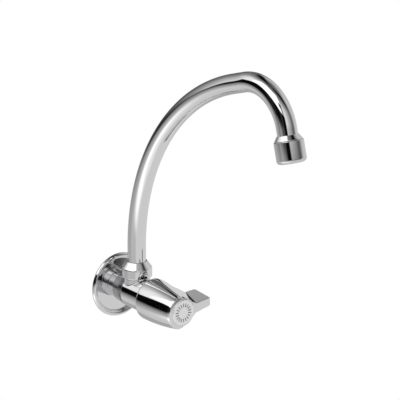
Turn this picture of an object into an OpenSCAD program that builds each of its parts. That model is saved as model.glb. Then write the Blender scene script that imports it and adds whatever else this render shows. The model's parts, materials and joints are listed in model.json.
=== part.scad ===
// Wall-mounted sink tap with a swivelling swan-neck spout and a quarter-turn wing lever.
// Millimetres. The origin is the centre of the inlet at the wall face, the room is on the
// -Y side and +Z is up. Valve and lever turn on the Y axis, the spout on a plumb axis.
// Places along the valve are distances from the wall, places on the swivel are heights.

/* [Wall side] */
// Outside diameter of the male inlet thread, G 1/2
inlet_thread_d = 20.96; // [19:0.01:24]
// Length of inlet thread behind the wall face
inlet_thread_len = 16; // [10:0.5:30]
// Waterway through the inlet
inlet_bore_d = 13.5; // [12.5:0.5:15]
// Outside diameter of the wall flange
flange_d = 58; // [46:1:80]
// Height of the flange's rolled rim from the wall
flange_rim_h = 4.5; // [4.5:0.1:7]
// Width of the rolled rim
flange_rim_w = 4.4; // [3.6:0.1:5]
// Distance of the flange's flat face from the wall
flange_face = 1.2; // [1:0.1:2]
// Thickness of the flange's pressed sheet
flange_sheet = 0.8; // [0.6:0.1:0.9]

/* [Body] */
// Diameter of the neck that clamps the flange
neck_d = 24; // [22.5:0.5:25]
// Distance of the body's rear shoulder from the wall
body_rear = 9.3; // [7:0.1:12]
// Diameter of the body at its rear shoulder
body_rear_d = 26.2; // [25.5:0.1:28]
// Diameter of the body's barrel
body_d = 29; // [28.5:0.5:32]
// Length of the tapered shoulder
shoulder_len = 14.7; // [8:0.1:20]
// Distance of the body's open mouth from the wall
body_mouth = 51; // [50.5:0.1:53]
// Bevel on the body's edges
body_bevel = 0.6; // [0.3:0.1:1]

/* [Outlet boss] */
// Distance of the spout's swivel axis from the wall
swivel_from_wall = 28.5; // [27:0.1:31]
// Diameter of the boss below the nut
boss_d = 23; // [21.5:0.5:25]
// Height of the seat that the nut comes down to
boss_seat = 15; // [14.8:0.1:18]
// Diameter of the boss thread
boss_thread_d = 20.8; // [20:0.1:21.4]
// Length of the boss thread above the nut's seat
boss_thread_len = 6.2; // [5:0.1:9]
// Bore that the spout foot turns in
boss_bore_d = 16.6; // [15.8:0.1:17.4]

/* [Spout nut] */
// Outside diameter of the nut
nut_d = 26.4; // [25.5:0.1:30]
// Height of the nut's straight band
nut_band = 8.4; // [6:0.1:9.5]
// Height of the nut's cone above the band
nut_cone = 5.8; // [4:0.1:7]
// Diameter of the cone's top
nut_top_d = 17.8; // [17.2:0.1:19]

/* [Spout] */
// Outside diameter of the spout tube
tube_d = 16; // [15:0.5:16]
// Wall of the spout tube
tube_wall = 1; // [0.8:0.1:1.5]
// Height at which the tube starts to bend
riser_top = 40; // [36:0.1:80]
// Radius of the long sweep
sweep_r = 175; // [120:1:220]
// Angle of the long sweep
sweep_angle = 74.6; // [60:0.1:80]
// Straight run at the crest
crest_len = 13.1; // [2:0.1:40]
// Radius of the bend before the outlet
crook_r = 38.8; // [28:0.1:60]
// Lean of the outlet from plumb
outlet_lean = 15; // [0:0.5:25]
// Straight run between the bend and the nozzle
tail_len = 4.6; // [2:0.1:20]

/* [Spout foot] */
// Thickness of the foot's collar
collar_t = 1.2; // [1:0.1:2]
// Length of the foot below the collar
foot_len = 9.8; // [9.4:0.1:10.4]
// Length of the foot's spigot inside the tube
spigot_len = 9; // [5:0.5:14]
// Waterway through the foot
foot_bore_d = 11; // [9:0.5:11.6]
// Thickness of the glide washer under the collar
glide_t = 0.8; // [0.6:0.1:1.2]
// Thickness of the split ring over the collar
split_ring_t = 0.9; // [0.7:0.1:1.2]
// Gap in the split ring
split_gap = 2; // [1:0.5:4]
// Cord diameter of the spout's seals
spout_seal_cord = 1.56; // [1.4:0.02:1.7]

/* [Nozzle and aerator] */
// Length of the nozzle's cone
nozzle_cone = 4; // [3:0.1:7]
// Diameter of the cone's top
nozzle_top_d = 16.9; // [16.8:0.1:18]
// Diameter of the cone's base
nozzle_base_d = 22.2; // [21.4:0.1:22.4]
// Depth of the socket that holds the tube
socket_depth = 4; // [3:0.1:4.4]
// Diameter of the nozzle's male thread
nozzle_thread_d = 20; // [19:0.1:20.4]
// Length of the nozzle's male thread
nozzle_thread_len = 8.4; // [6:0.1:10]
// Outside diameter of the aerator shell
shell_d = 23.2; // [22.4:0.1:26]
// Length of the aerator shell
shell_len = 17.1; // [15.5:0.1:22]
// Radius of the shell's rounded lower edge
shell_round = 3; // [1:0.1:3.2]
// Outlet opening in the shell
shell_mouth_d = 16.6; // [14:0.1:16.8]
// Wall between the shell's lip and its opening
shell_lip = 1.4; // [1:0.1:2]
// Cells across the aerator's grid
grid_rings = 3; // [2:1:4]

/* [Ceramic valve] */
// Distance of the body's seat from the wall
seat_at = 19; // [17:0.1:20]
// Waterway through the seat
seat_bore_d = 11.6; // [10:0.2:12]
// Thickness of the seat gasket
gasket_t = 2.6; // [2:0.1:3]
// Gap between the seat and the cage's end
cage_end_gap = 0.6; // [0.3:0.1:1]
// Outside diameter of the cage
cage_d = 17.8; // [17.2:0.1:18.4]
// Bore of the cage, where the discs lie
cage_bore_d = 15.5; // [14.8:0.1:15.8]
// Thickness of the fixed disc
fixed_disc_t = 3; // [2.5:0.1:3.5]
// Thickness of the moving disc
moving_disc_t = 3.2; // [2.8:0.1:3.6]
// Outer radius of the ports in the discs
port_r = 5.6; // [4.8:0.1:6]
// Inner radius of the ports in the discs
port_inner_r = 1.9; // [1.5:0.1:2.5]
// Angle of each port
port_angle = 78; // [60:1:84]
// Diameter of the bonnet's thread into the body
bonnet_thread_d = 20.84; // [20.4:0.02:21.2]
// Diameter of the bonnet's collar
bonnet_collar_d = 25.2; // [24.8:0.2:26.4]
// Thickness of the bonnet's collar
bonnet_collar_t = 3; // [2:0.1:4]
// Width across the flats of the bonnet's hexagon
hex_af = 19; // [17:0.5:21]
// Height of the bonnet's hexagon
hex_h = 5.5; // [4:0.5:7]
// Diameter of the bonnet's tower
tower_d = 15.2; // [14:0.1:17]
// Length of the bonnet's tower
tower_len = 11.5; // [10:0.5:14]
// Thickness of the bonnet's web over the thrust washer
thrust_at = 40; // [39.4:0.1:40.6]

/* [Spindle] */
// Diameter of the spindle's shank
shank_d = 9.9; // [9:0.1:10.4]
// Diameter of the spindle's collar
spindle_collar_d = 13.2; // [12.6:0.1:13.6]
// Thickness of the spindle's collar
spindle_collar_t = 3.7; // [3:0.1:4]
// Thickness of the thrust washer
thrust_t = 0.6; // [0.4:0.1:0.8]
// Width of the drive tongue
tongue_w = 3.9; // [3:0.1:4.4]
// Length of the splined end
spline_len = 10; // [8:0.5:12]
// Outside diameter of the spline
spline_d = 8; // [7.4:0.1:8.6]
// Depth of the spline's teeth
spline_depth = 0.45; // [0.3:0.05:0.6]
// Number of teeth on the spline
spline_teeth = 20; // [12:1:28]
// Quarter turn from closed to open
turn_angle = 90; // [60:1:95]
// Angle of the stop lug on the collar
stop_lug_angle = 30; // [20:1:40]
// Cord diameter of the spindle's seals
spindle_seal_cord = 1.2; // [1:0.05:1.3]
// Thickness of the spindle's retaining clip
clip_t = 0.7; // [0.5:0.1:0.9]

/* [Handle] */
// Distance of the handle's rear edge from the wall
handle_rear = 49; // [48:0.1:49.6]
// Distance of the handle's front edge from the wall
handle_front = 92.5; // [92:0.1:95]
// Largest radius of the handle's barrel
barrel_r = 18.5; // [18:0.1:20]
// Radius of the barrel's long curve
barrel_curve_r = 205; // [170:5:300]
// Radius of the barrel's front edge
front_round = 1.9; // [1:0.1:2.2]
// Radius of the barrel's rear edge
rear_round = 1.6; // [0.8:0.1:2]
// Tilt of the flat facets about the handle's axis
facet_tilt = 31; // [25:0.5:36]
// Distance from the axis to a facet at its rear end
facet_reach = 17.6; // [17.4:0.1:18.2]
// Slope of the facets towards the front
facet_slope = 9.8; // [7:0.1:10.4]
// Distance of the facets' rear ends from the wall
facet_rear = 55.5; // [54:0.1:58]
// Radius of the round bezel about the cap
bezel_r = 12.6; // [12.2:0.1:13]
// Reach of the wing from the handle's axis
wing_reach = 35.8; // [30:0.1:50]
// Thickness of the wing at its root
wing_root_t = 8.4; // [7:0.1:10]
// Thickness of the wing at its tip
wing_tip_t = 6.8; // [5:0.1:8]
// Distance of the wing's rear edge from the wall
wing_rear = 64; // [61:0.1:67]
// How far the wing's front edge sweeps back to its tip
wing_sweep = 3.8; // [0:0.1:6]
// How much the tip edge draws in towards the front
wing_draft = 3; // [0:0.1:5]
// Radius of the tip's corners
wing_corner = 1.8; // [0.8:0.1:3]

// How far the closed handle's wing stands above level
closed_rise = 2; // [0:0.5:6]

/* [Handle fixing] */
// Diameter of the splined insert
insert_d = 13; // [12:0.1:14]
// Width of the insert's keys
insert_key_w = 2.4; // [1.8:0.1:3]
// How far the insert's keys stand out
insert_key_h = 1; // [0.6:0.1:1.4]
// Thickness of the web that the screw clamps
web_t = 2.4; // [2:0.1:3]
// Diameter of the handle screw, M4
screw_d = 4; // [3.6:0.1:4.2]
// Diameter of the screw's head
screw_head_d = 7.6; // [6.6:0.1:9]
// Height of the screw's head
screw_head_h = 2.6; // [2:0.1:3]
// Length of the screw below its head
screw_len = 12.5; // [10:0.5:13]
// Diameter of the index cap
cap_d = 22.4; // [21.6:0.1:22.6]
// Thickness of the index cap's disc
cap_t = 2.4; // [1.8:0.1:3]
// How far the cap stands proud of the handle
cap_proud = 0.5; // [0:0.1:1.2]
// Length of the cap's snap skirt
cap_skirt_len = 3.2; // [2:0.1:4]
// Number of snap fingers on the cap
cap_fingers = 6; // [3:1:10]

/* [Fits] */
// Radial clearance of a turning or push fit
fit_gap = 0.06; // [0.03:0.01:0.08]
// Clearance between flat faces of pieces that turn
face_gap = 0.05; // [0.02:0.01:0.1]
// Radial clearance round the tube where the nut passes over it
sleeve_gap = 0.25; // [0.15:0.01:0.3]
// Radial clearance of the flange over the inlet thread
flange_gap = 0.15; // [0.05:0.05:0.4]
// Radial clearance of the handle's skirt round the body
skirt_gap = 1.2; // [0.8:0.1:1.5]

/* [Hidden] */
$fn = 96;

chrome = [0.80, 0.81, 0.83];
brass = [0.80, 0.66, 0.36];
steel = [0.66, 0.67, 0.69];
ceramic = [0.93, 0.93, 0.90];
rubber = [0.12, 0.12, 0.13];
nylon = [0.90, 0.89, 0.84];

// How far a cutter runs past the face that it opens
over = 1;

// Valve stack, as distances from the wall
thread_r = inlet_thread_d / 2;
undercut = 0.9;
undercut_from = 0.4;
shoulder_end = body_rear + shoulder_len;
chamber_d = cage_d + 1.2;
pocket_r = 11;
pocket_from = seat_at + 4;
bonnet_thread_from = 38.5;
bonnet_relief = 1.8;
fixed_disc_at = seat_at + gasket_t;
moving_disc_at = fixed_disc_at + fixed_disc_t;
disc_top = moving_disc_at + moving_disc_t;
disc_r = cage_bore_d / 2 - 0.3;
slot_depth = 1.6;
tongue_l = 2 * port_r - 0.6;
room_r = spindle_collar_d / 2 + fit_gap;
lug_r = cage_bore_d / 2 - 0.2;
spindle_collar_top = thrust_at - thrust_t - face_gap;
spindle_collar_at = spindle_collar_top - spindle_collar_t;
room_from = spindle_collar_at - face_gap;
window_from = disc_top + 0.6;
window_w = 10;
bonnet_hex_at = body_mouth + bonnet_collar_t;
tower_from = bonnet_hex_at + hex_h;
tower_top = tower_from + tower_len;
bore_r = shank_d / 2 + fit_gap;
clip_at = tower_top + face_gap;
clip_r = shank_d / 2 + 1.3;
clip_floor_r = shank_d / 2 - 0.75;
spline_from = clip_at + clip_t + 1.1;
spindle_end = spline_from + spline_len;
seal_floor_r = bore_r - spindle_seal_cord;
seal_groove_w = spindle_seal_cord + 0.5;
seal_places = [tower_from + 2, tower_from + 6];

// Handle, as distances from the wall
insert_at = spline_from + 0.3;
web_at = spindle_end + 0.2;
recess_at = web_at + web_t;
cap_back = handle_front + cap_proud - cap_t;
cap_skirt_r = cap_d / 2 - 0.7;
cap_skirt_wall = 0.9;
cap_fit = 0.1;
hub_floor = insert_at - 0.3;
skirt_r = body_d / 2 + skirt_gap;
cavity_end_r = 12.4;
barrel_peak = handle_rear + 5;
wing_front_x = bezel_r + 1.6;
wing_tip_front = handle_front - wing_sweep;
facet_back_x = 16.2;
facet_back_at = facet_rear + 4;

// Swivel stack, as heights above the valve's axis
boss_top = boss_seat + boss_thread_len;
collar_at = boss_top + glide_t;
collar_top = collar_at + collar_t;
foot_bottom = collar_at - foot_len;
foot_r = boss_bore_d / 2 - fit_gap;
collar_r = boss_thread_d / 2 - 0.4;
split_ring_top = collar_top + face_gap + split_ring_t;
nut_shoulder = split_ring_top + face_gap;
nut_bottom = boss_seat + 0.2;
nut_band_top = nut_bottom + nut_band - 0.15;
nut_top = nut_band_top + nut_cone;
nut_bore_r = boss_thread_d / 2 + fit_gap;
nut_bevel = 0.5;
spout_seal_floor_r = boss_bore_d / 2 - spout_seal_cord;
spout_groove_w = spout_seal_cord + 0.7;
spout_seal_places = [foot_bottom + 2.6, foot_bottom + 6.8];

// Spout path in its own plane: u is forwards from the swivel axis, v is up
tube_r = tube_d / 2;
tube_bore_r = tube_r - tube_wall;
bend_lap = 0.5;
bend_thin = 0.05;
sweep_end = [sweep_r * (1 - cos(sweep_angle)), riser_top + sweep_r * sin(sweep_angle)];
crest_end = sweep_end + crest_len * [sin(sweep_angle), cos(sweep_angle)];
crook_centre = crest_end + crook_r * [cos(sweep_angle), -sin(sweep_angle)];
outlet_heading = 180 - outlet_lean;
crook_angle = outlet_heading - sweep_angle;
crook_end = crook_centre + crook_r * [-cos(outlet_heading), sin(outlet_heading)];
tail_end = crook_end + tail_len * [sin(outlet_heading), cos(outlet_heading)];

// Nozzle and aerator, as distances along the outlet from the end of the tail
socket_r = tube_r + fit_gap;
nozzle_end = nozzle_cone + nozzle_thread_len;
shell_from = nozzle_cone + 0.1;
shell_end = shell_from + shell_len;
shell_bore_r = nozzle_thread_d / 2 + fit_gap;
screen_t = 0.5;
aerator_gasket_t = 1.4;
aerator_gasket_at = nozzle_end + 0.05;
screen_at = aerator_gasket_at + aerator_gasket_t;
core_at = screen_at + screen_t;
core_r = shell_bore_r - 0.15;
core_rim_t = 1.2;
lip_at = shell_end - shell_lip;
core_end = shell_end - 0.3;

// A point list that follows a circle about c from angle a0 to a1
function arc(c, r, a0, a1, n = 6) =
    [for (i = [0:n]) c + r * [cos(a0 + (a1 - a0) * i / n), sin(a0 + (a1 - a0) * i / n)]];

// The valve's axis: local Z runs out from the wall into the room, local Y is up
module on_valve_axis() { rotate([90, 0, 0]) children(); }

// The plumb swivel axis: local Z is height above the valve's axis
module on_swivel_axis() { translate([0, -swivel_from_wall, 0]) children(); }

// The plane of the spout: local X is forwards from the swivel axis, local Y is up
module in_spout_plane() { on_swivel_axis() rotate([90, 0, -90]) children(); }

// The outlet: local Z runs out of the spout from the end of its tail
module on_outlet() {
    in_spout_plane() translate([tail_end[0], tail_end[1], 0])
        rotate([0, 0, 90 - outlet_heading]) rotate([0, 90, 0]) children();
}

// A ring between two radii, from one height to another
module ring(r_in, r_out, from, to) {
    translate([0, 0, from]) difference() {
        cylinder(r = r_out, h = to - from);
        translate([0, 0, -over]) cylinder(r = r_in, h = to - from + 2 * over);
    }
}

// A straight cutter or plug between two heights
module rod(r, from, to) { translate([0, 0, from]) cylinder(r = r, h = to - from); }

// A sealing ring of round cord that stands on the floor of its groove
module cord_ring(floor_r, cord, at) {
    translate([0, 0, at]) rotate_extrude() translate([floor_r + cord / 2, 0]) circle(d = cord, $fn = 32);
}

// The wedge of a circle between two angles
module sector(r, a0, a1) {
    reach = r * 1.5;
    intersection() {
        circle(r = r);
        polygon(concat([[0, 0]], arc([0, 0], reach, a0, a1, 4)));
    }
}

// The pair of ports through a valve disc
module disc_ports(h) {
    for (side = [0, 180])
        translate([0, 0, -over]) linear_extrude(h + 2 * over) difference() {
            sector(port_r, side - port_angle / 2, side + port_angle / 2);
            circle(r = port_inner_r);
        }
}

// The outline of the splined shaft, grown by a clearance
module spline_outline(grow) {
    tip = spline_d / 2 + grow;
    root = tip - spline_depth;
    step = 360 / spline_teeth;
    polygon([for (i = [0:spline_teeth - 1], k = [0, 1, 2, 3])
        let (a = step * (i + [0, 0.28, 0.5, 0.78][k]), r = k < 2 ? tip : root)
        [r * cos(a), r * sin(a)]]);
}

// Wall side

module wall_flange() {
    bore = thread_r + flange_gap;
    back = flange_face - flange_sheet;
    rim_r = flange_rim_w / 2;
    rim_mid = flange_d / 2 - rim_r;
    foot_w = 2;
    color(chrome) on_valve_axis() rotate_extrude() {
        translate([bore, back]) square([rim_mid - bore, flange_sheet]);
        translate([rim_mid - foot_w / 2, 0]) square([foot_w, flange_rim_h - rim_r]);
        translate([rim_mid, flange_rim_h - rim_r]) circle(r = rim_r);
    }
}

// Valve body

module body_outline() {
    polygon([
        [0, -inlet_thread_len],
        [thread_r - 1, -inlet_thread_len],
        [thread_r, 1 - inlet_thread_len],
        [thread_r, undercut_from],
        [thread_r - undercut, undercut_from + undercut / 2],
        [thread_r - undercut, flange_face],
        [neck_d / 2, flange_face],
        [neck_d / 2, body_rear],
        [body_rear_d / 2 - body_bevel, body_rear],
        [body_rear_d / 2, body_rear + body_bevel],
        [body_d / 2, shoulder_end],
        [body_d / 2, body_mouth - body_bevel],
        [body_d / 2 - body_bevel, body_mouth],
        [0, body_mouth]]);
}

module body_waterway() {
    seal_recess_r = bonnet_thread_d / 2 + bonnet_relief;
    rotate_extrude() polygon([
        [0, -inlet_thread_len - over], [inlet_bore_d / 2, -inlet_thread_len - over],
        [inlet_bore_d / 2, seat_at - 4], [seat_bore_d / 2, seat_at - 2.5],
        [seat_bore_d / 2, seat_at + over], [0, seat_at + over]]);
    rod(chamber_d / 2, seat_at, body_mouth);
    rotate_extrude() polygon([
        [0, pocket_from], [chamber_d / 2, pocket_from], [pocket_r, pocket_from + 1.5],
        [pocket_r, bonnet_thread_from - 1.5], [chamber_d / 2, bonnet_thread_from],
        [0, bonnet_thread_from]]);
    rod(bonnet_thread_d / 2 + fit_gap, bonnet_thread_from, body_mouth);
    rod(seal_recess_r, body_mouth - bonnet_relief, body_mouth + over);
}

module valve_body() {
    color(chrome) difference() {
        union() {
            on_valve_axis() rotate_extrude() body_outline();
            on_swivel_axis() {
                rod(boss_d / 2, 0, boss_seat);
                rod(boss_thread_d / 2, 0, boss_top - 0.4);
                translate([0, 0, boss_top - 0.4])
                    cylinder(r1 = boss_thread_d / 2, r2 = boss_thread_d / 2 - 0.4, h = 0.4);
            }
        }
        on_valve_axis() body_waterway();
        on_swivel_axis() rod(boss_bore_d / 2, 0, boss_top + over);
    }
}

// Ceramic valve

module seat_gasket() {
    lip = 0.5;
    outer = cage_bore_d / 2 - 0.1;
    inner = seat_bore_d / 2 - 0.4;
    color(rubber) on_valve_axis() rotate_extrude() polygon([
        [inner, fixed_disc_at], [inner, seat_at + lip], [inner + 0.6, seat_at],
        [outer - 0.4, seat_at], [outer, seat_at + lip], [outer, fixed_disc_at]]);
}

module fixed_disc() {
    key_w = 2.8;
    key_reach = cage_d / 2 - 0.2;
    color(ceramic) on_valve_axis() translate([0, 0, fixed_disc_at]) difference() {
        union() {
            cylinder(r = cage_bore_d / 2 - 0.1, h = fixed_disc_t);
            translate([-key_w / 2, -key_reach, 0]) cube([key_w, 2 * key_reach, fixed_disc_t]);
        }
        disc_ports(fixed_disc_t);
    }
}

module moving_disc() {
    slot_w = tongue_w + 0.2;
    slot_l = tongue_l + 0.2;
    color(ceramic) on_valve_axis() translate([0, 0, moving_disc_at]) difference() {
        cylinder(r = disc_r, h = moving_disc_t);
        rotate([0, 0, 90]) disc_ports(moving_disc_t);
        translate([-slot_l / 2, -slot_w / 2, moving_disc_t - slot_depth])
            cube([slot_l, slot_w, slot_depth + over]);
    }
}

module bonnet() {
    cage_end = seat_at + cage_end_gap;
    key_slot_w = 3;
    key_slot_l = fixed_disc_at + fixed_disc_t - cage_end;
    stop_slack = 0.5;
    lug_room_h = spindle_collar_top + face_gap - room_from + 0.01;
    color(brass) on_valve_axis() difference() {
        union() {
            rod(cage_d / 2, cage_end, bonnet_thread_from + over);
            rod(bonnet_thread_d / 2, bonnet_thread_from, body_mouth + over);
            rod(bonnet_collar_d / 2, body_mouth, bonnet_hex_at);
            translate([0, 0, bonnet_hex_at]) cylinder(d = hex_af / cos(30), h = hex_h, $fn = 6);
            rod(tower_d / 2, tower_from - over, tower_top);
        }
        rod(cage_bore_d / 2, cage_end - over, room_from);
        rod(room_r, room_from - over, thrust_at);
        translate([0, 0, room_from - 0.01]) linear_extrude(lug_room_h)
            sector(lug_r + 0.1, -stop_lug_angle / 2 - stop_slack,
                   turn_angle + stop_lug_angle / 2 + stop_slack);
        rod(bore_r, thrust_at - over, tower_top + over);
        translate([-key_slot_w / 2, -cage_d, cage_end - over])
            cube([key_slot_w, 2 * cage_d, key_slot_l + over]);
        translate([-window_w / 2, -cage_d, window_from])
            cube([window_w, 2 * cage_d, room_from - 0.8 - window_from]);
    }
}

module bonnet_seal() {
    cord = bonnet_relief - 0.1;
    color(rubber) on_valve_axis()
        cord_ring(bonnet_thread_d / 2 + 0.03, cord, body_mouth - bonnet_relief / 2);
}

module spindle() {
    cross_t = 2.2;
    hole_r = screw_d / 2 + fit_gap;
    tongue_at = disc_top - slot_depth + 0.1;
    color(brass) on_valve_axis() difference() {
        union() {
            translate([-tongue_l / 2, -tongue_w / 2, tongue_at])
                cube([tongue_l, tongue_w, slot_depth + cross_t]);
            rod(3.4, disc_top + 0.1, spindle_collar_at + over);
            rod(spindle_collar_d / 2, spindle_collar_at, spindle_collar_top);
            translate([0, 0, spindle_collar_at]) linear_extrude(spindle_collar_t) difference() {
                sector(lug_r, -stop_lug_angle / 2, stop_lug_angle / 2);
                circle(r = spindle_collar_d / 2 - 0.5);
            }
            rod(shank_d / 2, spindle_collar_top - over, spline_from);
            translate([0, 0, spline_from - over]) linear_extrude(spline_len + over) spline_outline(0);
        }
        for (at = seal_places)
            ring(seal_floor_r, shank_d, at - seal_groove_w / 2, at + seal_groove_w / 2);
        ring(clip_floor_r, shank_d, clip_at, clip_at + clip_t + face_gap);
        rod(hole_r, spindle_end - screw_len - 1, spindle_end + over);
    }
}

module thrust_washer() {
    color(nylon) on_valve_axis()
        ring(bore_r + 0.15, spindle_collar_d / 2, spindle_collar_top + face_gap, thrust_at);
}

module spindle_seals() {
    color(rubber) on_valve_axis()
        for (at = seal_places) cord_ring(seal_floor_r, spindle_seal_cord - 0.03, at);
}

module spindle_clip() {
    mouth = clip_floor_r * 1.5;
    color(steel) on_valve_axis() translate([0, 0, clip_at]) difference() {
        cylinder(r = clip_r, h = clip_t);
        translate([0, 0, -over]) cylinder(r = clip_floor_r + 0.03, h = clip_t + 2 * over);
        translate([0, -mouth / 2, -over]) cube([clip_r + over, mouth, clip_t + 2 * over]);
    }
}

// Handle and its fixing

// The insert's outline in its bore, grown by a clearance
module insert_outline(grow) {
    key_l = insert_d + 2 * insert_key_h + 2 * grow;
    key_w = insert_key_w + 2 * grow;
    circle(d = insert_d + 2 * grow);
    square([key_l, key_w], center = true);
}

module spline_insert() {
    color(nylon) on_valve_axis() translate([0, 0, insert_at])
        linear_extrude(web_at - insert_at) difference() {
            insert_outline(0);
            spline_outline(fit_gap);
        }
}

// The barrel's outline: a long curve with a rounded edge at each end
module barrel_outline() {
    front_r = barrel_curve_r * (cos(asin((handle_front - barrel_peak) / barrel_curve_r)) - 1) + barrel_r;
    steps = 14;
    curve = [for (i = [0:steps])
        let (d = barrel_peak + (handle_front - front_round - barrel_peak) * i / steps,
             a = asin((d - barrel_peak) / barrel_curve_r))
        [barrel_r - barrel_curve_r * (1 - cos(a)), d]];
    polygon(concat(
        [[0, handle_rear], [barrel_r - rear_round, handle_rear]],
        arc([barrel_r - rear_round, handle_rear + rear_round], rear_round, -90, 0, 5),
        curve,
        arc([front_r - front_round, handle_front - front_round], front_round, 0, 90, 6),
        [[0, handle_front]]));
}

// Plan of the wing, seen from above: X is the reach, Y is the distance from the wall
module wing_plan() {
    tip_rear = [wing_reach, wing_rear - 0.6];
    tip_front = [wing_reach - wing_draft, wing_tip_front];
    c = wing_corner;
    polygon(concat(
        [[0, facet_back_at - 4], [facet_back_x - 4, facet_back_at - 2], [facet_back_x, facet_back_at],
         [facet_back_x + 7.8, wing_rear + 0.6]],
        arc(tip_rear + [-c, c], c, -90, 0, 5),
        arc(tip_front + [-c, -c], c, 6, 78, 5),
        [[wing_front_x, handle_front - 0.2], [0, handle_front - 0.2]]));
}

// Thickness of the wing, seen along the handle
module wing_profile() {
    polygon([[0, -wing_root_t / 2], [wing_front_x, -wing_root_t / 2],
             [wing_reach + over, -wing_tip_t / 2], [wing_reach + over, wing_tip_t / 2],
             [wing_front_x, wing_root_t / 2], [0, wing_root_t / 2]]);
}

// All that lies above the upper facet
module above_facet() {
    big = 120;
    translate([0, 0, facet_rear]) rotate([0, 0, -facet_tilt]) translate([0, facet_reach, 0])
        rotate([facet_slope, 0, 0]) translate([-big / 2, 0, -big / 2]) cube([big, big, big]);
}

module handle_shell() {
    difference() {
        union() {
            rotate_extrude() barrel_outline();
            rotate([-90, 0, 0]) mirror([0, 1, 0]) translate([0, 0, -barrel_r])
                linear_extrude(2 * barrel_r) wing_plan();
        }
        difference() {
            union() {
                above_facet();
                mirror([0, 1, 0]) above_facet();
            }
            linear_extrude(handle_front + over) wing_profile();
        }
    }
    rod(bezel_r, handle_front - 12, handle_front - 0.4);
    translate([0, 0, handle_front - 0.4]) cylinder(r1 = bezel_r, r2 = bezel_r - 0.4, h = 0.4);
}

module handle() {
    cap_seat_r = cap_d / 2 + cap_fit;
    recess_r = cap_skirt_r + cap_fit;
    color(chrome) on_valve_axis() difference() {
        rotate([0, 0, closed_rise]) handle_shell();
        rotate_extrude() polygon([
            [0, handle_rear - over], [skirt_r, handle_rear - over],
            [skirt_r, handle_rear + 7], [cavity_end_r, hub_floor], [0, hub_floor]]);
        translate([0, 0, hub_floor - over]) linear_extrude(web_at - hub_floor + over)
            insert_outline(fit_gap);
        rod(screw_d / 2 + 0.2, web_at - over, recess_at + over);
        rod(recess_r, recess_at, handle_front + over);
        rod(cap_seat_r, cap_back, handle_front + over);
    }
}

module handle_screw() {
    slot_w = 1;
    slot_l = screw_head_d * 0.6;
    color(steel) on_valve_axis() translate([0, 0, recess_at]) difference() {
        union() {
            cylinder(d = screw_head_d, h = screw_head_h - 0.8);
            translate([0, 0, screw_head_h - 0.8])
                cylinder(d1 = screw_head_d, d2 = screw_head_d - 2.4, h = 0.8);
            translate([0, 0, -screw_len]) cylinder(d = screw_d, h = screw_len + over / 2);
        }
        for (a = [0, 90])
            rotate([0, 0, a]) translate([-slot_l / 2, -slot_w / 2, screw_head_h - 1.4])
                cube([slot_l, slot_w, 1.4 + over]);
    }
}

module index_cap() {
    edge = 0.7;
    finger_slot = 1.6;
    color(chrome) on_valve_axis() {
        rotate_extrude() polygon([
            [0, cap_back], [cap_d / 2, cap_back], [cap_d / 2, cap_back + cap_t - edge],
            [cap_d / 2 - edge * 0.3, cap_back + cap_t - edge * 0.3],
            [cap_d / 2 - edge, cap_back + cap_t], [0, cap_back + cap_t]]);
        difference() {
            ring(cap_skirt_r - cap_skirt_wall, cap_skirt_r - 0.05, cap_back - cap_skirt_len, cap_back);
            for (i = [0:cap_fingers - 1])
                rotate([0, 0, i * 360 / cap_fingers])
                    translate([0, -finger_slot / 2, cap_back - cap_skirt_len - over])
                    cube([cap_d, finger_slot, cap_skirt_len + over - 0.4]);
        }
    }
}

// Swivel joint

module spout_nut() {
    color(chrome) on_swivel_axis() rotate_extrude() polygon([
        [nut_bore_r, nut_bottom], [nut_d / 2 - nut_bevel, nut_bottom],
        [nut_d / 2, nut_bottom + nut_bevel], [nut_d / 2, nut_band_top],
        [nut_top_d / 2, nut_top], [tube_r + sleeve_gap, nut_top],
        [tube_r + sleeve_gap, nut_shoulder], [nut_bore_r, nut_shoulder]]);
}

module split_ring() {
    color(nylon) on_swivel_axis() difference() {
        ring(tube_r + sleeve_gap, nut_bore_r - fit_gap, collar_top + face_gap, nut_shoulder);
        translate([-split_gap / 2, 0, collar_top]) cube([split_gap, boss_d, split_ring_t + over]);
    }
}

module glide_washer() {
    color(nylon) on_swivel_axis()
        ring(boss_bore_d / 2, collar_r, boss_top, collar_at - face_gap);
}

module spout_foot() {
    color(brass) on_swivel_axis() difference() {
        union() {
            rod(foot_r, foot_bottom, collar_at + 0.5);
            rod(collar_r, collar_at, collar_top);
            rod(tube_bore_r - fit_gap, collar_top - 0.5, collar_top + spigot_len);
        }
        for (at = spout_seal_places)
            ring(spout_seal_floor_r, boss_d, at - spout_groove_w / 2, at + spout_groove_w / 2);
        rod(foot_bore_d / 2, foot_bottom - over, collar_top + spigot_len + over);
    }
}

module spout_seals() {
    color(rubber) on_swivel_axis()
        for (at = spout_seal_places) cord_ring(spout_seal_floor_r, spout_seal_cord - 0.03, at);
}

// Spout

// A straight bar in the spout's plane: it starts at a point and runs along a heading from up
module straight_run(start, heading, from, to, r) {
    translate([start[0], start[1], 0]) rotate([0, 0, 90 - heading]) rotate([0, 90, 0]) rod(r, from, to);
}

// A bent bar that turns forwards from a heading; it is a hair slimmer than the straight runs
module bend(centre, bend_r, heading, angle, r) {
    translate([centre[0], centre[1], 0]) rotate([0, 0, 180 - heading - angle])
        rotate_extrude(angle = angle) translate([bend_r, 0]) circle(r = r - bend_thin);
}

// The whole path of the spout as a solid, run past both ends by extra
module spout_path(r, extra) {
    straight_run([0, 0], 0, collar_top - extra, riser_top + bend_lap, r);
    bend([sweep_r, riser_top], sweep_r, 0, sweep_angle, r);
    straight_run(sweep_end, sweep_angle, -bend_lap, crest_len + bend_lap, r);
    bend(crook_centre, crook_r, sweep_angle, crook_angle, r);
    straight_run(crook_end, outlet_heading, -bend_lap, tail_len + socket_depth + extra, r);
}

module spout_tube() {
    color(chrome) in_spout_plane() difference() {
        spout_path(tube_r, 0);
        spout_path(tube_bore_r, over);
    }
}

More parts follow.
